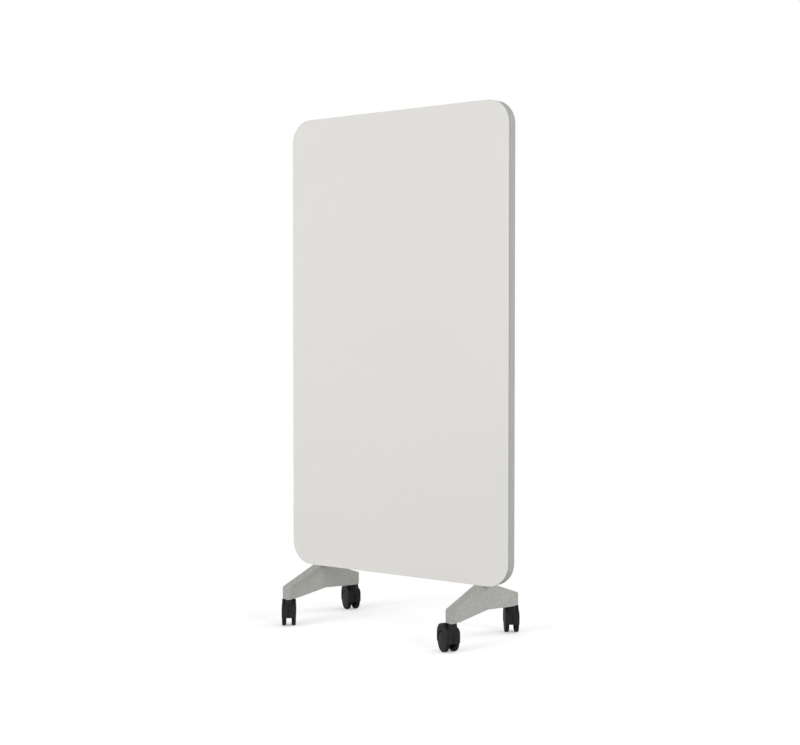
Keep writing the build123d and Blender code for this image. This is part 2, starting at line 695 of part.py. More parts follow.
def castor_wheel(side):
    """Moulded wheel: blind hub on the axle, domed outer disc and a rim that seats the tyre."""
    plane = axle_plane(side)
    bore_end = AXLE_HALF_LENGTH + AXLE_END_PLAY
    rim_inner = TYRE_SEAT_RADIUS - RIM_WALL
    with BuildPart() as wheel:
        with BuildSketch(plane):
            with BuildLine():
                ThreePointArc(
                    (WHEEL_OUTER, 0),
                    (DISC_MIDDLE, DISC_RADIUS / 2),
                    (DISC_EDGE, DISC_RADIUS),
                )
                Polyline(
                    (DISC_EDGE, DISC_RADIUS),
                    (TYRE_SEAT_OUTER, DISC_RADIUS),
                    (TYRE_SEAT_OUTER, TYRE_SEAT_RADIUS),
                    (TYRE_SEAT_INNER, TYRE_SEAT_RADIUS),
                    (TYRE_SEAT_INNER, TYRE_SEAT_RADIUS + RIM_LIP),
                    (RIM_INNER, TYRE_SEAT_RADIUS + RIM_LIP),
                    (RIM_INNER, rim_inner),
                    (DISC_INNER, rim_inner),
                    (DISC_INNER, WHEEL_HUB_RADIUS),
                    (WHEEL_INNER, WHEEL_HUB_RADIUS),
                    (WHEEL_INNER, AXLE_RADIUS + RUNNING_CLEARANCE),
                    (bore_end, AXLE_RADIUS + RUNNING_CLEARANCE),
                    (bore_end, 0),
                    (WHEEL_OUTER, 0),
                )
            make_face()
        revolve(axis=Axis(plane.origin, plane.x_dir))
        with BuildSketch(wheel_well_plane(side * SPOKE_INNER)):
            with PolarLocations((WHEEL_HUB_RADIUS + rim_inner) / 2, SPOKES):
                Rectangle(rim_inner - WHEEL_HUB_RADIUS + 2 * SPOKE_OVERLAP, SPOKE_WIDTH)
        extrude(amount=-side * (DISC_INNER - SPOKE_INNER))
    return wheel.part


def castor_tyre(side):
    """Soft tread ring with rounded shoulders on the wheel's seat."""
    plane = axle_plane(side)
    seat = TYRE_SEAT_RADIUS + TYRE_PLAY
    seat_outer = TYRE_SEAT_OUTER - TYRE_PLAY
    seat_inner = TYRE_SEAT_INNER + TYRE_PLAY
    with BuildPart() as tyre:
        with BuildSketch(plane):
            with BuildLine():
                Polyline(
                    (TYRE_OUTER, WHEEL_RADIUS - TYRE_SHOULDER),
                    (DISC_EDGE, DISC_RADIUS + TYRE_PLAY),
                    (seat_outer, DISC_RADIUS + TYRE_PLAY),
                    (seat_outer, seat),
                    (seat_inner, seat),
                    (seat_inner, seat + RIM_LIP),
                    (TYRE_INNER, seat + RIM_LIP),
                    (TYRE_INNER, WHEEL_RADIUS - TYRE_SHOULDER),
                )
                RadiusArc(
                    (TYRE_INNER, WHEEL_RADIUS - TYRE_SHOULDER),
                    (TYRE_INNER + TYRE_SHOULDER, WHEEL_RADIUS),
                    TYRE_SHOULDER,
                )
                Line(
                    (TYRE_INNER + TYRE_SHOULDER, WHEEL_RADIUS),
                    (TYRE_OUTER - TYRE_SHOULDER, WHEEL_RADIUS),
                )
                RadiusArc(
                    (TYRE_OUTER - TYRE_SHOULDER, WHEEL_RADIUS),
                    (TYRE_OUTER, WHEEL_RADIUS - TYRE_SHOULDER),
                    TYRE_SHOULDER,
                )
            make_face()
        revolve(axis=Axis(plane.origin, plane.x_dir))
    return tyre.part


castor_pieces = {
    "castor_socket": castor_socket.part,
    "castor_stem": castor_stem.part,
    "stem_ring": stem_ring.part,
    "castor_housing": castor_housing.part,
    "castor_axle": castor_axle.part,
    "castor_wheel_a": castor_wheel(1),
    "castor_wheel_b": castor_wheel(-1),
    "castor_tyre_a": castor_tyre(1),
    "castor_tyre_b": castor_tyre(-1),
}

for place, (x, y, angle) in CASTORS.items():
    trail = (cos(radians(angle)), sin(radians(angle)), 0)
    stem_plane = Plane(origin=(x, y, 0), x_dir=trail, z_dir=(0, 0, 1))
    for name, piece in castor_pieces.items():
        save(piece.moved(stem_plane.location), f"{name}_{place}")
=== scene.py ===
import json
import math

import bmesh
import bpy
import numpy as np
from bpy.props import FloatProperty, FloatVectorProperty, PointerProperty
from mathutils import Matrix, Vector


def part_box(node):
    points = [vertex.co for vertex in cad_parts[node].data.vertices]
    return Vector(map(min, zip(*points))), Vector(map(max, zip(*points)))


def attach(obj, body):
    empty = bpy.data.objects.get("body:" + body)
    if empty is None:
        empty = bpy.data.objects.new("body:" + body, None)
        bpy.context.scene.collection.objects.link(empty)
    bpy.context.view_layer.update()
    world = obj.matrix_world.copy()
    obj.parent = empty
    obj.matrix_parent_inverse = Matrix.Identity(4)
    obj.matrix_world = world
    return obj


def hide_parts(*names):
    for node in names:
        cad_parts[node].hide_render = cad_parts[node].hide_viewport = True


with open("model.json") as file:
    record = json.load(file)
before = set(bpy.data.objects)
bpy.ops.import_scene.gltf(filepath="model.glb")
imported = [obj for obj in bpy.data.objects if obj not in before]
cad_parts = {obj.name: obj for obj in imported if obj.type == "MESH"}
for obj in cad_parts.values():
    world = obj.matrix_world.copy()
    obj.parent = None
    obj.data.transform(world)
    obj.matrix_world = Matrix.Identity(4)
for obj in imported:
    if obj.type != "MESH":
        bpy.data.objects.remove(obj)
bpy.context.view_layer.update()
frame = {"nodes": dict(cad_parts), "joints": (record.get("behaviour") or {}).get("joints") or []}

bl_info = {
    "name": "Rolling whiteboard",
    "version": (1, 0, 0),
    "blender": (4, 5, 0),
    "location": "View3D > Sidebar > Whiteboard",
    "description": "Finishes of a rolling whiteboard: enamelled face, coated frame, felt rear, castors",
    "category": "Object",
}

PLACES = ("front_left", "front_right", "rear_left", "rear_right")
SIDES = ("left", "right")
WHEELS = ("a", "b")
JOINTS = {joint["name"]: joint for joint in frame["joints"]}

# Board outline and the frame's rear lip, in metres
CORNER_RADIUS = 0.088
CORNER_STEPS = 25
LIP_REACH = 0.009

# Felt panel, in metres: how far in its crown's rings lie, and how fast the crown levels out
CROWN_RINGS = (0.06, 0.10, 0.16, 0.24, 0.34)
CROWN_REACH = 0.12
ROLL_RINGS = 15
ROLL_SHARE = 0.55

# Tyre and the wheel's seat for it, in metres: widths run along the axle from the castor's middle
WHEEL_MIDDLE = 0.018
TYRE_INNER = 0.0108
TYRE_OUTER = 0.0259
TYRE_SHOULDER = 0.0034
TYRE_PLAY = 0.00003
SEAT_INNER = 0.0124
SEAT_OUTER = 0.0242
SEAT_RADIUS = 0.032
RIM_RADIUS = 0.033
DISC_RADIUS = 0.034
DISC_EDGE = 0.0252
TYRE_STEPS = 96
SHOULDER_STEPS = 9

# Made surfaces: points closer than this are one, and edges sharper than this stay sharp
MERGE_DISTANCE = 1e-7
SHARP_ANGLE = math.radians(38.0)

# Floor, in metres: half its width, and where its shadows fade into plain white
FLOOR_HALF = 60.0
CLEAR_RADIUS = 1.6
FADE_WIDTH = 1.4

# Lamps, in metres
LAMP_PLACES = {"key": (-1.6, -6.0, 1.9), "side": (6.2, -1.4, 1.9), "rear": (3.6, 4.8, 1.8)}
LAMP_AIM = (0.0, 0.0, 0.9)
LAMP_SIZE = 3.4

# Camera: its sensor's width in millimetres, and how far it sees in metres
SENSOR_WIDTH = 36.0
CLIP_END = 200.0

BLACK = (0.0, 0.0, 0.0)
WHITE = (1.0, 1.0, 1.0)


# ------------------------------------------------------------------ settings


def colour(name, description, default):
    """A colour setting, in scene-linear red, green and blue."""
    return FloatVectorProperty(
        name=name,
        description=description,
        default=default,
        size=3,
        subtype="COLOR",
        min=0.0,
        max=1.0,
    )


def length(name, description, default):
    """A length setting in metres."""
    return FloatProperty(
        name=name, description=description, default=default, unit="LENGTH", min=0.0
    )


def share(name, description, default):
    """A setting from 0 to 1."""
    return FloatProperty(name=name, description=description, default=default, min=0.0, max=1.0)


def power(name, description, default):
    """A lamp's power in watts."""
    return FloatProperty(name=name, description=description, default=default, unit="POWER")


def angle(name, description, degrees):
    """An angle, given in degrees."""
    return FloatProperty(
        name=name, description=description, default=math.radians(degrees), subtype="ANGLE"
    )


class BoardSettings(bpy.types.PropertyGroup):
    """Colours and grain of the face, its edging, the frame and the feet."""

    writing: colour("Writing face", "Enamel of the writing face", (0.757, 0.741, 0.709))
    ghost: colour("Wiped ink", "Haze that old ink leaves on the enamel", (0.60, 0.62, 0.66))
    powder: colour("Powder coat", "Coat of the frame and the feet", (0.384, 0.386, 0.360))
    edging: colour("Edging", "Band round the face panel", (0.318, 0.316, 0.296))
    grain: length("Coat grain", "Size of the bumps in the powder coat", 0.0011)
    mottle: length("Coat mottle", "Size of the light and dark spots in the coat", 0.005)
    gloss: share("Enamel roughness", "Roughness of the clean enamel", 0.16)


class FeltSettings(bpy.types.PropertyGroup):
    """Shape and fibres of the rear pin panel."""

    light: colour("Light fibres", "Palest fibres in the felt", (0.36, 0.365, 0.36))
    middle: colour("Middle fibres", "Main fibres in the felt", (0.215, 0.22, 0.222))
    dark: colour("Dark fibres", "Darkest fibres in the felt", (0.085, 0.088, 0.092))
    roll: length("Edge roll", "Width over which the felt rises from under the frame's lip", 0.009)
    crown: length("Crown", "Height of the felt's middle over its rolled edge", 0.0008)
    fibre: length("Fibre length", "Length of one visible fibre", 0.004)


class CastorSettings(bpy.types.PropertyGroup):
    """Colours of the castors and their steel parts."""

    housing: colour("Housing", "Moulded housing and wheel discs", (0.0210, 0.0212, 0.0208))
    tread: colour("Tyre", "Soft tread of the wheels", (0.014, 0.014, 0.0142))
    dust: colour("Dust", "Floor dust on the tyres", (0.10, 0.098, 0.092))
    zinc: colour("Zinc", "Plated steel", (0.58, 0.59, 0.60))


class StageSettings(bpy.types.PropertyGroup):
    """Floor, light and camera."""

    floor: colour("Floor", "Plain floor as the object sees it", (0.34, 0.34, 0.34))
    shown: colour("Shown floor", "Plain floor as the camera sees it", (0.90, 0.90, 0.90))
    glow: share("Floor glow", "Light that lifts the shown floor to white", 0.36)
    sky: share("Sky", "Strength of the even studio light", 0.48)
    key: power("Key", "Power of the front lamp", 215.0)
    side: power("Side", "Power of the right lamp", 150.0)
    rear: power("Rear", "Power of the rear lamp", 190.0)
    eye: FloatVectorProperty(
        name="Camera",
        description="Camera position",
        default=(3.1223, -4.2843, 1.1277),
        unit="LENGTH",
    )
    pitch: angle("Pitch", "Camera tilt", 88.353)
    yaw: angle("Yaw", "Camera heading", 36.179)
    lens: FloatProperty(
        name="Lens", description="Focal length in millimetres", default=63.142, min=1.0
    )


class WhiteboardSettings(bpy.types.PropertyGroup):
    """All settings of the rolling whiteboard."""

    board: PointerProperty(type=BoardSettings, name="Board", description="Face, frame and feet")
    felt: PointerProperty(type=FeltSettings, name="Felt", description="Rear pin panel")
    castors: PointerProperty(
        type=CastorSettings, name="Castors", description="Castors and steel parts"
    )
    stage: PointerProperty(type=StageSettings, name="Stage", description="Floor, light and camera")


# ------------------------------------------------------------------ shader maths


class Wire:
    """A node's output that takes part in arithmetic: each operator adds a Math node."""

    def __init__(self, maker, socket):
        self.maker = maker
        self.socket = socket

    def _maths(self, operation, first, second):
        return self.maker.node("ShaderNodeMath", {"operation": operation}, {0: first, 1: second})

    def __add__(self, other):
        return self._maths("ADD", self, other)

    __radd__ = __add__

    def __sub__(self, other):
        return self._maths("SUBTRACT", self, other)

    def __rsub__(self, other):
        return self._maths("SUBTRACT", other, self)

    def __mul__(self, other):
        return self._maths("MULTIPLY", self, other)

    __rmul__ = __mul__

    def __truediv__(self, other):
        return self._maths("DIVIDE", self, other)

    def __rtruediv__(self, other):
        return self._maths("DIVIDE", other, self)

    def least(self, other):
        return self._maths("MINIMUM", self, other)

    def most(self, other):
        return self._maths("MAXIMUM", self, other)


class NodeMaker:
    """Fills one node tree from empty."""

    def __init__(self, tree):
        self.tree = tree
        tree.nodes.clear()

    def node(self, kind, settings=None, inputs=None, output=0):
        """Adds one node, sets its settings and then its sockets, and gives back one output."""
        made = self.tree.nodes.new(kind)
        for key, value in (settings or {}).items():
            if key == "stops":
                self._stops(made.color_ramp, value)
            else:
                setattr(made, key, value)
        for key, value in (inputs or {}).items():
            self._put(made.inputs[key], value)
        return Wire(self, made.outputs[output]) if made.outputs else made

    def _put(self, socket, value):
        if isinstance(value, Wire):
            self.tree.links.new(value.socket, socket)
        elif hasattr(socket.default_value, "__len__") and len(socket.default_value) == 4:
            socket.default_value = (*value[:3], 1.0)
        else:
            socket.default_value = value

    def _stops(self, ramp, stops):
        ramp.elements.remove(ramp.elements[1])
        for index, (place, grey) in enumerate(stops):
            element = ramp.elements[0] if index == 0 else ramp.elements.new(place)
            element.position = place
            element.color = (grey, grey, grey, 1.0)

    def background_seen(self):
        """1 where the camera or a reflection sees the background directly, and 0 elsewhere."""
        camera = self.node("ShaderNodeLightPath", output="Is Camera Ray")
        return camera.most(self.node("ShaderNodeLightPath", output="Is Glossy Ray"))


class Finish(NodeMaker):
    """One procedural material: a Principled surface and the nodes that feed it."""

    def __init__(self, name, roughness=0.5, metallic=0.0, **constants):
        self.material = bpy.data.materials.new(name)
        self.material.use_nodes = True
        super().__init__(self.material.node_tree)
        self.surface = self.node("ShaderNodeBsdfPrincipled")
        self.output = self.node("ShaderNodeOutputMaterial", inputs={"Surface": self.surface})
        self.feed("Roughness", roughness)
        self.feed("Metallic", metallic)
        for socket, value in constants.items():
            self.feed(socket.replace("_", " "), value)

    def feed(self, socket, value):
        """Sets or links one socket of the Principled shader."""
        self._put(self.surface.socket.node.inputs[socket], value)

    def show(self, surface):
        """Puts another surface in the Principled shader's place at the output."""
        self._put(self.output.inputs["Surface"], surface)

    def place(self, stretch=(1.0, 1.0, 1.0), turn=(0.0, 0.0, 0.0)):
        """Object coordinates in metres, turned and stretched."""
        coordinates = self.node("ShaderNodeTexCoord", output="Object")
        return self.node(
            "ShaderNodeMapping", inputs={"Vector": coordinates, "Rotation": turn, "Scale": stretch}
        )

    def noise(self, size, where=None, detail=3.0, rough=0.5, warp=0.0):
        """Soft noise from 0 to 1 whose blobs are about size metres across."""
        return self.node(
            "ShaderNodeTexNoise",
            inputs={
                "Vector": where or self.place(),
                "Scale": 1.0 / size,
                "Detail": detail,
                "Roughness": rough,
                "Distortion": warp,
            },
            output="Fac",
        )

    def cells(self, size, where=None, feature="F1"):
        """Distance to the nearest of random points that are about size metres apart."""
        return self.node(
            "ShaderNodeTexVoronoi",
            {"feature": feature},
            {"Vector": where or self.place(), "Scale": 1.0 / size},
            "Distance",
        )

    def ramp(self, value, *stops):
        """Value remapped through grey stops, each a (place, grey) pair."""
        return self.node("ShaderNodeValToRGB", {"stops": stops}, {"Fac": value})

    def blend(self, factor, first, second):
        """Colour that goes from first to second as factor goes from 0 to 1."""
        return self.node(
            "ShaderNodeMix",
            {"data_type": "RGBA", "clamp_factor": True},
            {0: factor, 6: first, 7: second},
            2,
        )

    def bump(self, height, depth, strength):
        """Normal bent by a height from 0 to 1 that stands for depth metres."""
        inputs = {"Height": height, "Distance": depth, "Strength": strength}
        return self.node("ShaderNodeBump", inputs=inputs, output="Normal")


def tint(base, factor):
    """A colour made lighter or darker."""
    return tuple(min(channel * factor, 1.0) for channel in base)


# ------------------------------------------------------------------ finishes


def enamel(settings):
    """Glossy white enamel with a faint haze of wiped ink and slow orange peel."""
    finish = Finish("writing_enamel", Coat_Weight=0.25, Coat_Roughness=0.08)
    tilted = finish.place((0.5, 1.0, 1.6), (0.0, 0.35, 0.0))
    arcs = finish.noise(0.30, tilted, detail=6.0, rough=0.62, warp=1.2)
    drawn = finish.place((0.12, 1.0, 1.0), (0.0, 0.30, 0.0))
    strokes = finish.noise(0.012, drawn, detail=4.0, rough=0.6)
    haze = finish.ramp(arcs, (0.46, 0.0), (0.78, 1.0)) * (0.35 + strokes * 0.65)
    finish.feed("Base Color", finish.blend(haze * 0.10, settings.writing, settings.ghost))
    finish.feed("Roughness", settings.gloss + haze * 0.10 + strokes * 0.03)
    peel = finish.noise(0.006, detail=1.0)
    specks = finish.ramp(finish.cells(0.03), (0.0, 1.0), (0.03, 0.0))
    finish.feed("Normal", finish.bump(peel + specks * 0.2, 0.00004, 0.25))
    return finish.material


def powder_coat(settings):
    """Matte grey powder coat: fine bumps, pale flakes, small mottles and a slow change of tone."""
    finish = Finish("powder_coat", Specular_IOR_Level=0.45)
    bumps = finish.noise(settings.grain, detail=4.0, rough=0.62)
    flakes = finish.ramp(finish.cells(settings.grain * 1.6), (0.0, 1.0), (0.35, 0.0))
    mottle = finish.noise(settings.mottle, detail=2.0, rough=0.6)
    cloud = finish.noise(settings.mottle * 5.0, detail=4.0, rough=0.65)
    tone = bumps * 0.15 + mottle * 0.60 + cloud * 0.20 + flakes * 0.05
    shade = finish.ramp(tone, (0.34, 0.0), (0.62, 1.0))
    pale = tint(settings.powder, 1.18)
    finish.feed("Base Color", finish.blend(shade, tint(settings.powder, 0.82), pale))
    finish.feed("Roughness", 0.60 + (bumps - 0.5) * 0.20 + cloud * 0.06)
    finish.feed("Metallic", flakes * 0.15)
    finish.feed("Normal", finish.bump(bumps + flakes * 0.35, settings.grain * 0.20, 0.55))
    return finish.material


def extruded_edging(settings):
    """Plastic band with fine drawn lines along its run and small mottles."""
    finish = Finish("edging_band", Specular_IOR_Level=0.45)
    lines = finish.noise(0.0006, finish.place((0.004, 1.0, 0.004)), detail=2.0)
    cloud = finish.noise(settings.mottle * 1.5, detail=4.0)
    shade = finish.ramp(lines * 0.4 + cloud * 0.6, (0.3, 0.0), (0.7, 1.0))
    pale = tint(settings.edging, 1.12)
    finish.feed("Base Color", finish.blend(shade, tint(settings.edging, 0.88), pale))
    finish.feed("Roughness", 0.50 + (lines - 0.5) * 0.14)
    finish.feed("Normal", finish.bump(lines, 0.00006, 0.5))
    return finish.material


def melange_felt(settings):
    """Pressed wool felt: pale and dark fibres over a mid grey, with a soft hairy surface."""
    finish = Finish("melange_felt", Sheen_Weight=0.18, Sheen_Roughness=0.5, Specular_IOR_Level=0.2)
    size = settings.fibre * 0.22
    warp = finish.place((0.16, 1.0, 1.0), (0.0, 0.5, 0.0))
    weft = finish.place((1.0, 1.0, 0.16), (0.0, -0.35, 0.0))
    first = finish.noise(size, warp, detail=3.0, rough=0.6, warp=0.8)
    second = finish.noise(size * 1.3, weft, detail=3.0, rough=0.6, warp=0.8)
    clumps = finish.noise(settings.fibre * 3.0, detail=4.0, rough=0.6)
    bright = tint(settings.middle, 1.45)
    body = finish.blend(finish.ramp(first, (0.34, 0.0), (0.66, 1.0)), settings.middle, bright)
    dark = finish.ramp(second, (0.56, 0.0), (0.66, 1.0)) * 0.75
    pale = finish.ramp(first * 0.6 + clumps * 0.4, (0.57, 0.0), (0.66, 1.0)) * 0.7
    darkened = finish.blend(dark, body, settings.dark)
    finish.feed("Base Color", finish.blend(pale, darkened, settings.light))
    finish.feed("Roughness", 0.88 + first * 0.10)
    nap = first * 0.5 + second * 0.3 + clumps * 0.4
    finish.feed("Normal", finish.bump(nap, 0.0007, 0.8))
    return finish.material


def moulded_nylon(settings):
    """Near-black moulded nylon with a spark-eroded grain and faint flow marks."""
    finish = Finish("castor_nylon", Specular_IOR_Level=0.10)
    grain = finish.noise(0.0007, detail=3.0, rough=0.6)
    flow = finish.noise(0.012, finish.place((1.0, 1.0, 0.35)), detail=4.0, rough=0.6, warp=0.6)
    rubbed = finish.ramp(finish.noise(0.006, detail=6.0, rough=0.7), (0.60, 0.0), (0.74, 1.0))
    pale = tint(settings.housing, 1.6)
    worn = flow * 0.7 + rubbed * 0.5
    finish.feed("Base Color", finish.blend(worn, tint(settings.housing, 0.8), pale))
    finish.feed("Roughness", 0.56 + flow * 0.12 + rubbed * 0.10)
    finish.feed("Normal", finish.bump(grain, 0.00010, 0.45))
    return finish.material


def tread_rubber(settings):
    """Dark soft tread: dust in its pores, fine lines round the wheel, small scuffs."""
    finish = Finish("tyre_rubber", Specular_IOR_Level=0.10)
    around = finish.node("ShaderNodeUVMap", {"uv_map": "tread"}, output="UV")
    turned = finish.node(
        "ShaderNodeMapping", inputs={"Vector": around, "Scale": (6.0, 90.0, 1.0)}
    )
    lines = finish.noise(1.0, turned, detail=2.0)
    pores = finish.noise(0.0011, detail=3.0, rough=0.7)
    scuffs = finish.ramp(finish.noise(0.008, detail=6.0, rough=0.7), (0.52, 0.0), (0.72, 1.0))
    dust = scuffs * (0.25 + lines * 0.5) * 0.5
    finish.feed("Base Color", finish.blend(dust, settings.tread, settings.dust))
    finish.feed("Roughness", 0.62 + scuffs * 0.22 + pores * 0.08)
    finish.feed("Normal", finish.bump(lines * 0.7 + pores * 0.5, 0.00014, 0.6))
    return finish.material


def plated_steel(settings):
    """Zinc-plated steel: bright, clouded, with fine turning marks."""
    finish = Finish("plated_steel", metallic=1.0)
    shade = finish.cells(0.004) * 0.6 + finish.noise(0.010, detail=4.0) * 0.4
    turned = finish.noise(0.0003, finish.place((0.05, 0.05, 1.0)), detail=1.0)
    pale = tint(settings.zinc, 1.12)
    finish.feed("Base Color", finish.blend(shade, tint(settings.zinc, 0.82), pale))
    finish.feed("Roughness", 0.26 + shade * 0.16 + turned * 0.08)
    finish.feed("Normal", finish.bump(turned, 0.00003, 0.35))
    return finish.material


def drawn_tube():
    """Bare drawn steel tube with scale and long draw marks."""
    finish = Finish("drawn_tube", metallic=1.0)
    marks = finish.noise(0.0008, finish.place((1.0, 1.0, 0.01)), detail=2.0)
    scale = finish.noise(0.02, detail=6.0, rough=0.65)
    shade = marks * 0.5 + scale * 0.5
    finish.feed("Base Color", finish.blend(shade, (0.30, 0.30, 0.31), (0.56, 0.56, 0.57)))
    finish.feed("Roughness", 0.34 + scale * 0.26)
    finish.feed("Normal", finish.bump(marks, 0.00005, 0.4))
    return finish.material


def fibreboard():
    """Pressed wood fibre: brown, speckled with chips."""
    finish = Finish("fibreboard", Specular_IOR_Level=0.3)
    fibres = finish.noise(0.0015, finish.place((0.4, 1.0, 1.0)), detail=5.0, rough=0.7)
    chips = finish.ramp(finish.cells(0.004), (0.2, 0.0), (0.6, 1.0))
    shade = fibres * 0.6 + chips * 0.4
    finish.feed("Base Color", finish.blend(shade, (0.17, 0.10, 0.055), (0.42, 0.29, 0.17)))
    finish.feed("Roughness", 0.78 + fibres * 0.12)
    finish.feed("Normal", finish.bump(fibres, 0.0002, 0.5))
    return finish.material


def honeycomb_paper():
    """Kraft paper core with cell walls and paper fibre."""
    finish = Finish("honeycomb_paper", Specular_IOR_Level=0.2)
    walls = finish.cells(0.014, feature="DISTANCE_TO_EDGE")
    walls = finish.ramp(walls, (0.0, 1.0), (0.08, 0.0))
    fibres = finish.noise(0.0012, detail=4.0)
    shade = fibres * 0.5 + walls * 0.5
    finish.feed("Base Color", finish.blend(shade, (0.36, 0.25, 0.14), (0.60, 0.46, 0.29)))
    finish.feed("Roughness", 0.84 + fibres * 0.08)
    finish.feed("Normal", finish.bump(walls + fibres * 0.2, 0.0004, 0.6))
    return finish.material


def wadding():
    """White polyester wadding with loose fibres."""
    finish = Finish("wadding", Sheen_Weight=0.2, Specular_IOR_Level=0.15)
    laid = finish.place((0.3, 1.0, 1.0), (0.0, 0.4, 0.0))
    fibres = finish.noise(0.002, laid, detail=5.0, rough=0.7, warp=1.0)
    clumps = finish.noise(0.03, detail=4.0)
    shade = fibres * 0.5 + clumps * 0.5
    finish.feed("Base Color", finish.blend(shade, (0.50, 0.50, 0.49), (0.80, 0.80, 0.78)))
    finish.feed("Roughness", 0.90 + fibres * 0.08)
    finish.feed("Normal", finish.bump(fibres + clumps, 0.0015, 0.7))
    return finish.material


def foam_tape():
    """Black foam tape with open pores."""
    finish = Finish("foam_tape", Specular_IOR_Level=0.25)
    pores = finish.ramp(finish.cells(0.0012), (0.1, 0.0), (0.5, 1.0))
    finish.feed("Base Color", finish.blend(pores, (0.012, 0.012, 0.012), (0.045, 0.045, 0.045)))
    finish.feed("Roughness", 0.80 + pores * 0.12)
    finish.feed("Normal", finish.bump(pores, 0.0003, 0.6))
    return finish.material


# ------------------------------------------------------------------ surfaces


def grid_piece(name, points, body, material, uv_name):
    """A mesh from a rows x columns grid of points whose rows are closed loops.

    Points that coincide are merged, so a row may fold flat to close the surface.  The UV map
    runs from 0 to 1 along each row (u) and from the first row to the last (v).
    """
    rows, columns = points.shape[:2]
    here = np.arange(rows * columns).reshape(rows, columns)
    across = np.roll(here, -1, axis=1)
    quads = np.stack((here[:-1], across[:-1], across[1:], here[1:]), axis=-1).reshape(-1, 4)
    mesh = bpy.data.meshes.new(name)
    mesh.from_pydata(points.reshape(-1, 3), [], quads)
    cells = (rows - 1, columns)
    u = np.arange(columns + 1) / columns
    v = np.arange(rows) / (rows - 1)
    left = np.broadcast_to(u[:-1], cells)
    right = np.broadcast_to(u[1:], cells)
    low = np.broadcast_to(v[:-1, None], cells)
    high = np.broadcast_to(v[1:, None], cells)
    corners = np.stack((left, low, right, low, right, high, left, high), axis=-1)
    layer = mesh.uv_layers.new(name=uv_name)
    layer.uv.foreach_set("vector", corners.reshape(-1).astype(np.float32))
    close_up(mesh)
    mesh.materials.append(material)
    piece = bpy.data.objects.new(name, mesh)
    bpy.context.scene.collection.objects.link(piece)
    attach(piece, body)
    return piece


def close_up(mesh):
    """Merges doubled points, drops flat faces, turns every face outwards and smooths it."""
    work = bmesh.new()
    work.from_mesh(mesh)
    bmesh.ops.remove_doubles(work, verts=work.verts, dist=MERGE_DISTANCE)
    bmesh.ops.dissolve_degenerate(work, edges=work.edges, dist=MERGE_DISTANCE / 10)
    bmesh.ops.recalc_face_normals(work, faces=work.faces)
    work.to_mesh(mesh)
    work.free()
    mesh.shade_smooth()
    mesh.set_sharp_from_angle(angle=SHARP_ANGLE)


def arc(centre, radius, start, end, count):
    """Points on a circular arc, angles in degrees: centre + radius * (cos, sin)."""
    angles = np.radians(np.linspace(start, end, count))
    return np.array(centre) + radius * np.column_stack((np.cos(angles), np.sin(angles)))


def rounded_loop(half_width, half_height, radius, steps):
    """A rounded rectangle round the origin: four quarter circles joined by straight runs.

    Returns the points and their outward unit normals, anticlockwise from the right-hand side.
    """
    corners = ((1, 1, 0), (-1, 1, 90), (-1, -1, 180), (1, -1, 270))
    points = []
    normals = []
    for sign_x, sign_y, start in corners:
        turn = np.radians(np.linspace(start, start + 90, steps))
        normal = np.column_stack((np.cos(turn), np.sin(turn)))
        centre = np.array((sign_x * (half_width - radius), sign_y * (half_height - radius)))
        points.append(centre + radius * normal)
        normals.append(normal)
    return np.vstack(points), np.vstack(normals)


def assign(nodes, material):
    """Gives CAD nodes their finish."""
    for name in nodes:
        for slot in frame["nodes"][name].material_slots:
            slot.material = material


# ------------------------------------------------------------------ operators


class WHITEBOARD_OT_face(bpy.types.Operator):
    """Finish the writing face and the band round its panel"""

    bl_idname = "whiteboard.face"
    bl_label = "Writing face"

    def execute(self, context):
        settings = context.scene.whiteboard.board
        assign(("writing_skin",), enamel(settings))
        assign(("face_edging",), extruded_edging(settings))
        return {"FINISHED"}


class WHITEBOARD_OT_frame(bpy.types.Operator):
    """Finish the edge frame and the two feet"""

    bl_idname = "whiteboard.frame"
    bl_label = "Frame and feet"

    def execute(self, context):
        coat = powder_coat(context.scene.whiteboard.board)
        assign(("edge_frame", "foot_left", "foot_right"), coat)
        return {"FINISHED"}


class WHITEBOARD_OT_felt(bpy.types.Operator):
    """Make the felt pin panel on the rear"""

    bl_idname = "whiteboard.felt"
    bl_label = "Felt panel"

    def execute(self, context):
        settings = context.scene.whiteboard.felt
        piece = felt_panel(settings, melange_felt(settings))
        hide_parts("felt_panel")
        return {"FINISHED"}


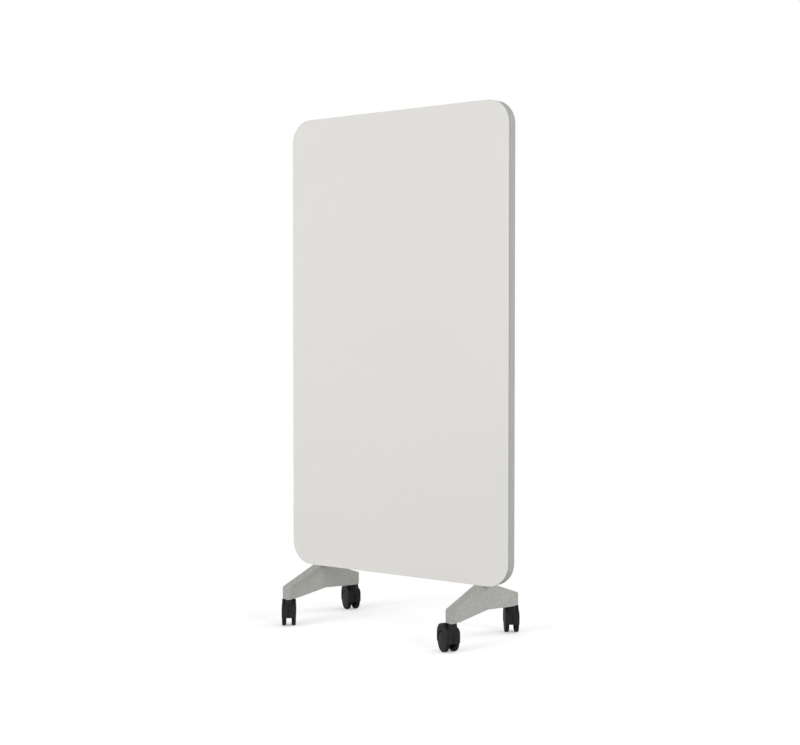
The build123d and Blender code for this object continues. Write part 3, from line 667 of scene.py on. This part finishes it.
def felt_panel(settings, material):
    """Pin panel as a closed crowned pad inside the frame's lip.

    Each ring is the panel's rounded outline moved in by an inset.  Past the lip its rear rises
    by a share of the lip's depth times (1 - (1 - p / w)^2)^0.5, where p is the way past the lip,
    up to the roll width w.  To that comes a crown that grows as 1 - exp(-p / reach).  The front
    is flat on the board behind it.
    """
    low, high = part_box("felt_panel")
    frame_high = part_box("edge_frame")[1]
    half = np.array(((high.x - low.x) / 2, (high.z - low.z) / 2))
    play = frame_high.x - high.x
    outline, normals = rounded_loop(half[0], half[1], CORNER_RADIUS - play, CORNER_STEPS)
    under_lip = LIP_REACH - play
    curl = settings.roll * np.linspace(0.0, 1.0, ROLL_RINGS) ** 2
    insets = np.concatenate(((0.0, under_lip / 2), under_lip + curl, CROWN_RINGS))
    past = np.clip(insets - under_lip, 0.0, None)
    rolled = np.sqrt(1.0 - (1.0 - np.clip(past / settings.roll, 0.0, 1.0)) ** 2)
    crown = 1.0 - np.exp(-past / CROWN_REACH)
    rise = (frame_high.y - high.y) * ROLL_SHARE
    depths = high.y + rise * rolled + settings.crown * crown
    rings = [inset_ring(outline, normals, inset) for inset in insets]
    middle_line = outline * (half - half.min()) / half
    loops = [middle_line, *rings[:1], *rings, middle_line]
    heights = [low.y, low.y, *depths, depths[-1]]
    centre = (low + high) / 2
    across, upward = np.moveaxis(np.stack(loops), -1, 0)
    depth = np.broadcast_to(np.array(heights)[:, None], across.shape)
    points = np.stack((centre.x + across, depth, centre.z + upward), axis=-1)
    return grid_piece("felt_pad", points, "root", material, "pad")


def inset_ring(outline, normals, inset):
    """The outline moved in along its normals near the edge, and shrunk evenly further in."""
    if inset < CORNER_RADIUS / 2:
        return outline - inset * normals
    half = np.abs(outline).max(axis=0)
    return outline * (half - inset) / half


class WHITEBOARD_OT_castors(bpy.types.Operator):
    """Finish the four castors"""

    bl_idname = "whiteboard.castors"
    bl_label = "Castors"

    def execute(self, context):
        settings = context.scene.whiteboard.castors
        nylon = moulded_nylon(settings)
        rubber = tread_rubber(settings)
        steel = plated_steel(settings)
        for place in PLACES:
            assign((f"castor_housing_{place}",), nylon)
            turned = ("castor_axle", "castor_stem", "castor_socket", "stem_ring")
            assign([f"{part}_{place}" for part in turned], steel)
            for wheel in WHEELS:
                assign((f"castor_wheel_{wheel}_{place}",), nylon)
                tyre(wheel, place, rubber)
        return {"FINISHED"}


def tyre(wheel, place, material):
    """Tyre turned from its section round the wheel's axis.

    A point is centre + out * (v - middle) + r * (cos(t) * level + sin(t) * up), where (v, r) is a
    point of the section and t goes once round.
    """
    name = f"castor_tyre_{wheel}_{place}"
    joint = JOINTS[f"wheel_{wheel}_spin_{place}"]
    low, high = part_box(name)
    axis = np.array(joint["axis"])
    up = np.array((0.0, 0.0, 1.0))
    level = np.cross(axis, up)
    out = axis if wheel == "a" else -axis
    section = tyre_section((high.z - low.z) / 2)
    turns = np.linspace(0.0, 2.0 * np.pi, TYRE_STEPS, endpoint=False)
    rays = np.outer(np.cos(turns), level) + np.outer(np.sin(turns), up)
    along = (section[:, 0] - WHEEL_MIDDLE)[:, None, None] * out
    points = np.array(joint["pos_m"]) + along + section[:, 1, None, None] * rays
    body = f"wheel_{wheel}_{place}"
    piece = grid_piece(f"tyre_{wheel}_{place}", points, body, material, "tread")
    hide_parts(name)


def tyre_section(radius):
    """Closed section of a tyre as (v, r) points: tread, rounded shoulders and stepped seat."""
    near = TYRE_INNER + TYRE_SHOULDER
    far = TYRE_OUTER - TYRE_SHOULDER
    crest = radius - TYRE_SHOULDER
    outer = arc((far, crest), TYRE_SHOULDER, 0, 90, SHOULDER_STEPS)
    inner = arc((near, crest), TYRE_SHOULDER, 90, 180, SHOULDER_STEPS)
    groove = SEAT_RADIUS + TYRE_PLAY
    rim = RIM_RADIUS + TYRE_PLAY
    disc = DISC_RADIUS + TYRE_PLAY
    seat = (
        (TYRE_INNER, rim),
        (SEAT_INNER + TYRE_PLAY, rim),
        (SEAT_INNER + TYRE_PLAY, groove),
        (SEAT_OUTER - TYRE_PLAY, groove),
        (SEAT_OUTER - TYRE_PLAY, disc),
        (DISC_EDGE, disc),
    )
    return np.vstack((outer, inner, seat, outer[:1]))


class WHITEBOARD_OT_inside(bpy.types.Operator):
    """Finish the pieces inside the board"""

    bl_idname = "whiteboard.inside"
    bl_label = "Inner pieces"

    def execute(self, context):
        steel = plated_steel(context.scene.whiteboard.castors)
        fixings = ["frame_splice", "splice_screws", "board_screws"]
        for side in SIDES:
            fixings += [f"foot_bolt_{side}", f"foot_washer_{side}", f"upright_plug_{side}"]
        assign(fixings, steel)
        tubes = ("upright_left", "upright_right", "bottom_rail", "middle_rail", "top_rail")
        assign(tubes, drawn_tube())
        assign(("rear_board",), fibreboard())
        assign(("face_core",), honeycomb_paper())
        assign(("acoustic_batt",), wadding())
        assign(("face_tape",), foam_tape())
        return {"FINISHED"}


class WHITEBOARD_OT_stage(bpy.types.Operator):
    """Make the floor, the light and the camera"""

    bl_idname = "whiteboard.stage"
    bl_label = "Stage"

    def execute(self, context):
        settings = context.scene.whiteboard.stage
        make_floor(settings)
        make_sky(settings)
        for name, position in LAMP_PLACES.items():
            lamp(f"{name}_lamp", getattr(settings, name), position)
        make_camera(settings)
        context.scene.view_settings.view_transform = "Standard"
        return {"FINISHED"}


def make_floor(settings):
    """Plain floor that shows white to the camera and keeps the object's soft shadow."""
    mesh = bpy.data.meshes.new("floor")
    half = FLOOR_HALF
    corners = [(-half, -half, 0), (half, -half, 0), (half, half, 0), (-half, half, 0)]
    mesh.from_pydata(corners, [], [(0, 1, 2, 3)])
    floor = bpy.data.objects.new("floor", mesh)
    bpy.context.scene.collection.objects.link(floor)
    finish = Finish("floor_white", roughness=0.9, Specular_IOR_Level=0.1, Emission_Strength=1.0)
    seen = finish.background_seen()
    from_middle = finish.node(
        "ShaderNodeVectorMath", {"operation": "LENGTH"}, {0: finish.place()}, "Value"
    )
    far = ((from_middle - CLEAR_RADIUS) / FADE_WIDTH).most(0.0).least(1.0)
    glow = tint(WHITE, settings.glow)
    finish.feed("Base Color", finish.blend(seen, settings.floor, settings.shown))
    finish.feed("Emission Color", finish.blend(seen, BLACK, glow))
    white = finish.node("ShaderNodeEmission", inputs={"Strength": 1.0})
    layers = {0: far * seen, 1: finish.surface, 2: white}
    finish.show(finish.node("ShaderNodeMixShader", inputs=layers))
    mesh.materials.append(finish.material)


def make_sky(settings):
    """Even studio light that looks white to the camera and in reflections."""
    world = bpy.data.worlds.new("studio")
    bpy.context.scene.world = world
    world.use_nodes = True
    maker = NodeMaker(world.node_tree)
    strength = settings.sky + maker.background_seen() * (1.0 - settings.sky)
    light = maker.node("ShaderNodeBackground", inputs={"Color": WHITE, "Strength": strength})
    maker.node("ShaderNodeOutputWorld", inputs={"Surface": light})


def lamp(name, watts, position):
    """A large soft square lamp aimed at the board, left out of mirror reflections."""
    data = bpy.data.lights.new(name, "AREA")
    data.energy = watts
    data.size = LAMP_SIZE
    item = bpy.data.objects.new(name, data)
    item.location = position
    aim = Vector(LAMP_AIM) - Vector(position)
    item.rotation_euler = aim.to_track_quat("-Z", "Y").to_euler()
    item.visible_glossy = False
    bpy.context.scene.collection.objects.link(item)


def make_camera(settings):
    """Camera in front, to the right, looking slightly down."""
    data = bpy.data.cameras.new("camera")
    data.lens = settings.lens
    data.sensor_width = SENSOR_WIDTH
    data.clip_end = CLIP_END
    camera = bpy.data.objects.new("camera", data)
    camera.location = settings.eye
    camera.rotation_euler = (settings.pitch, 0.0, settings.yaw)
    bpy.context.scene.collection.objects.link(camera)
    bpy.context.scene.camera = camera


class WHITEBOARD_PT_panel(bpy.types.Panel):
    """Sidebar panel with every step of the whiteboard"""

    bl_idname = "WHITEBOARD_PT_panel"
    bl_label = "Rolling whiteboard"
    bl_space_type = "VIEW_3D"
    bl_region_type = "UI"
    bl_category = "Whiteboard"

    def draw(self, context):
        settings = context.scene.whiteboard
        groups = (
            (settings.board, ("whiteboard.face", "whiteboard.frame", "whiteboard.inside")),
            (settings.felt, ("whiteboard.felt",)),
            (settings.castors, ("whiteboard.castors",)),
            (settings.stage, ("whiteboard.stage",)),
        )
        for group, steps in groups:
            box = self.layout.box()
            for name in group.__annotations__:
                box.prop(group, name)
            for step in steps:
                box.operator(step)


CLASSES = (
    BoardSettings,
    FeltSettings,
    CastorSettings,
    StageSettings,
    WhiteboardSettings,
    WHITEBOARD_OT_face,
    WHITEBOARD_OT_frame,
    WHITEBOARD_OT_felt,
    WHITEBOARD_OT_castors,
    WHITEBOARD_OT_inside,
    WHITEBOARD_OT_stage,
    WHITEBOARD_PT_panel,
)


def register():
    """Adds the classes and the scene's settings."""
    for item in CLASSES:
        bpy.utils.register_class(item)
    bpy.types.Scene.whiteboard = PointerProperty(type=WhiteboardSettings)


def unregister():
    """Takes the settings and the classes away again."""
    del bpy.types.Scene.whiteboard
    for item in reversed(CLASSES):
        bpy.utils.unregister_class(item)


def main():
    """Builds the whole scene."""
    register()
    steps = bpy.ops.whiteboard
    for step in (steps.face, steps.frame, steps.felt, steps.castors, steps.inside, steps.stage):
        step()


if __name__ == "__main__":
    main()
